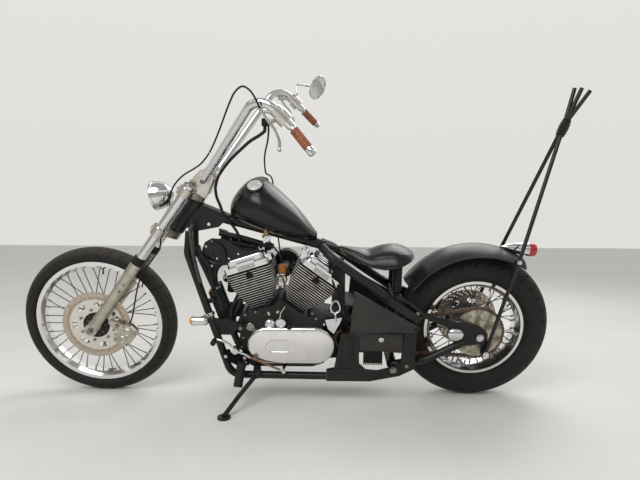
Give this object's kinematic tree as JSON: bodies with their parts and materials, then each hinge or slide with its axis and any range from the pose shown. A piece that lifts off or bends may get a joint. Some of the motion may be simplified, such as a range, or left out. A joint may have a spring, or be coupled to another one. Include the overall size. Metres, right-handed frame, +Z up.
{
  "type": "chopper motorcycle",
  "caption": "Custom chopper motorcycle with a raked fork, tall handlebar, finned twin engine, solo seat, bobbed fender and tall sissy bar, parked leaning on its side stand.",
  "frame": {"origin": "on the floor, under the middle of the parked motorcycle's box", "axes": "+X forward, +Y to the rider's left, +Z up; the motorcycle leans to +Y on its side stand"},
  "size_m": [2.3749, 0.8206, 1.4556],
  "materials": {
    "frame_paint": "satin",
    "tank_paint": "satin",
    "fender_paint": "satin",
    "chrome": "polished",
    "polished_alloy": "polished",
    "worn_alloy": "satin",
    "engine_black": "satin",
    "brake_steel": "brushed",
    "axle_steel": "brushed",
    "chain_steel": "worn",
    "tyre": "matte",
    "rubber": "matte",
    "seat_leather": "satin",
    "grip_wrap": "matte",
    "clear_glass": "clear",
    "red_lens": "gloss",
    "indicator_chrome": "polished"
  },
  "bodies": {
    "root": {"frame_backbone": "frame_paint", "cradle_left": "frame_paint", "cradle_right": "frame_paint", "rear_frame_left": "frame_paint", "rear_frame_right": "frame_paint", "swingarm": "frame_paint", "rear_axle": "axle_steel", "drive_chain": "chain_steel", "crankcase": "engine_black", "front_cylinder": "engine_black", "rear_cylinder": "engine_black", "rocker_covers": "chrome", "primary_cover": "chrome", "clutch_cover": "chrome", "carburettor": "engine_black", "exhaust_pipes": "chrome", "radiator": "frame_paint", "fuel_tank": "tank_paint", "fuel_caps": "chrome", "seat": "seat_leather", "seat_mount": "frame_paint", "rear_fender": "fender_paint", "sissy_bar": "fender_paint", "taillight_housing": "chrome", "taillight_lens": "red_lens", "side_covers": "frame_paint", "tool_box": "frame_paint", "regulator": "engine_black", "horn": "frame_paint", "sprocket_cover": "chrome", "foot_controls": "polished_alloy", "foot_pegs": "rubber", "indicators": "indicator_chrome"},
    "steering": {"fork_sliders": "worn_alloy", "fork_tubes": "chrome", "dust_boots": "rubber", "triple_clamps": "polished_alloy", "handlebar": "chrome", "risers": "polished_alloy", "grips": "grip_wrap", "bar_controls": "polished_alloy", "mirror": "chrome", "control_cables": "rubber", "headlight_shell": "chrome", "headlight_lens": "clear_glass", "front_caliper": "worn_alloy", "front_axle": "axle_steel"},
    "front_roller": {"front_tyre": "tyre", "front_wheel": "chrome", "front_disc": "brake_steel"},
    "rear_roller": {"rear_tyre": "tyre", "rear_wheel": "chrome", "rear_disc": "brake_steel", "rear_sprocket": "chain_steel"},
    "stand": {"side_stand": "frame_paint"}
  },
  "joints": [
    {"name": "steering_turn", "type": "hinge", "parent": "root", "child": "steering", "pos_m": [0.43384, -0.0644, 0.80985], "axis": [-0.5948, 0.1527, 0.7892], "range_deg": [-35, 35]},
    {"name": "front_wheel_spin", "type": "hinge", "parent": "steering", "child": "front_roller", "pos_m": [0.84951, -0.15674, 0.33261], "axis": [0, 0.9818, -0.19], "continuous": true},
    {"name": "rear_wheel_spin", "type": "hinge", "parent": "root", "child": "rear_roller", "pos_m": [-0.79749, -0.15815, 0.3253], "axis": [0, 0.9818, -0.19], "continuous": true},
    {"name": "stand_swing", "type": "hinge", "parent": "root", "child": "stand", "pos_m": [0.13851, -0.04362, 0.12761], "axis": [0.0209, 0.5864, 0.8098], "range_deg": [0, 105.4]}
  ]
}
